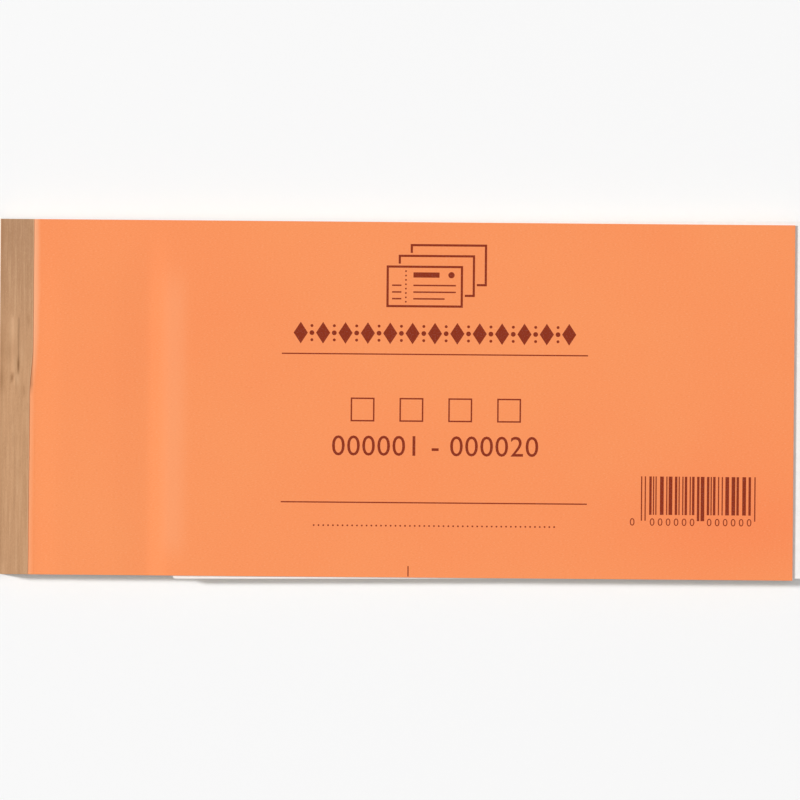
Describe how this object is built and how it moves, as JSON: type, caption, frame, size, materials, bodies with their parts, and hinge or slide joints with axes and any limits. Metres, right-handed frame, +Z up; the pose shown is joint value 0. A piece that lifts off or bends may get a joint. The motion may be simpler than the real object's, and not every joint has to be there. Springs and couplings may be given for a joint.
{
  "type": "receipt book",
  "caption": "Landscape receipt book: carbonless three-part sets stapled and taped at the spine between an orange card cover and a chipboard back, with a loose writing card.",
  "frame": {"origin": "middle of the underside of the back board", "axes": "+X from the taped spine to the free end, +Y to the head of the page, +Z up through the cover"},
  "size_m": [0.2164, 0.0972, 0.0067],
  "materials": {
    "cover_card": "orange pulp board, uncoated, slightly mottled",
    "kraft_tape": "brown gummed kraft paper, fibrous",
    "chipboard": "grey recycled chipboard with flecks",
    "white_card": "smooth white duplex card",
    "white_sheet": "white carbonless paper, matte",
    "pink_sheet": "pink carbonless paper, matte",
    "yellow_sheet": "yellow carbonless paper, matte",
    "receipt_set": "white, pink and yellow carbonless sheets",
    "staple_wire": "zinc-plated flat wire"
  },
  "bodies": {
    "pad": {"back_board": "chipboard", "spine_tape": "kraft_tape", "upper_staple": "staple_wire", "lower_staple": "staple_wire", "front_cover_bound_edge": "cover_card", "set_01_bound_edges": "receipt_set", "set_02": "receipt_set", "set_03": "receipt_set", "set_04": "receipt_set", "set_05": "receipt_set", "set_06": "receipt_set", "set_07": "receipt_set", "set_08": "receipt_set", "set_09": "receipt_set", "set_10": "receipt_set", "set_11": "receipt_set", "set_12": "receipt_set", "set_13": "receipt_set", "set_14": "receipt_set", "set_15": "receipt_set", "set_16": "receipt_set", "set_17": "receipt_set", "set_18": "receipt_set", "set_19": "receipt_set", "set_20": "receipt_set"},
    "writing_card": {"writing_card": "white_card"},
    "triplicate_leaf": {"triplicate_01_leaf": "yellow_sheet"},
    "duplicate_leaf": {"duplicate_01_counterfoil": "pink_sheet"},
    "duplicate_form": {"duplicate_01_form": "pink_sheet"},
    "original_leaf": {"original_01_counterfoil": "white_sheet"},
    "original_form": {"original_01_form": "white_sheet"},
    "front_cover": {"front_cover": "cover_card"}
  },
  "joints": [
    {"name": "first_set_turn", "type": "hinge", "parent": "pad", "child": "triplicate_leaf", "pos_m": [-0.0974, 0, 0.00641], "axis": [0, -1, 0], "range_deg": [0, 165]},
    {"name": "duplicate_fan", "type": "hinge", "parent": "triplicate_leaf", "child": "duplicate_leaf", "pos_m": [-0.0974, 0, 0.00641], "axis": [0, -1, 0], "range_deg": [0, 4]},
    {"name": "original_fan", "type": "hinge", "parent": "duplicate_leaf", "child": "original_leaf", "pos_m": [-0.0974, 0, 0.00641], "axis": [0, -1, 0], "range_deg": [0, 4]},
    {"name": "front_cover_turn", "type": "hinge", "parent": "original_leaf", "child": "front_cover", "pos_m": [-0.0974, 0, 0.00641], "axis": [0, 1, 0], "range_deg": [-175, 0]},
    {"name": "writing_card_slide", "type": "slide", "parent": "pad", "child": "writing_card", "axis": [1, 0.0084, 0], "range_m": [0, 0.172]},
    {"name": "duplicate_tear_off", "type": "slide", "parent": "duplicate_leaf", "child": "duplicate_form", "axis": [1, 0, 0], "range_m": [0, 0.172]},
    {"name": "original_tear_off", "type": "slide", "parent": "original_leaf", "child": "original_form", "axis": [1, 0, 0], "range_m": [0, 0.172]}
  ],
  "couplings": [
    {"joint": "duplicate_fan", "follows": "first_set_turn", "ratio": 0.02},
    {"joint": "original_fan", "follows": "first_set_turn", "ratio": 0.02}
  ]
}
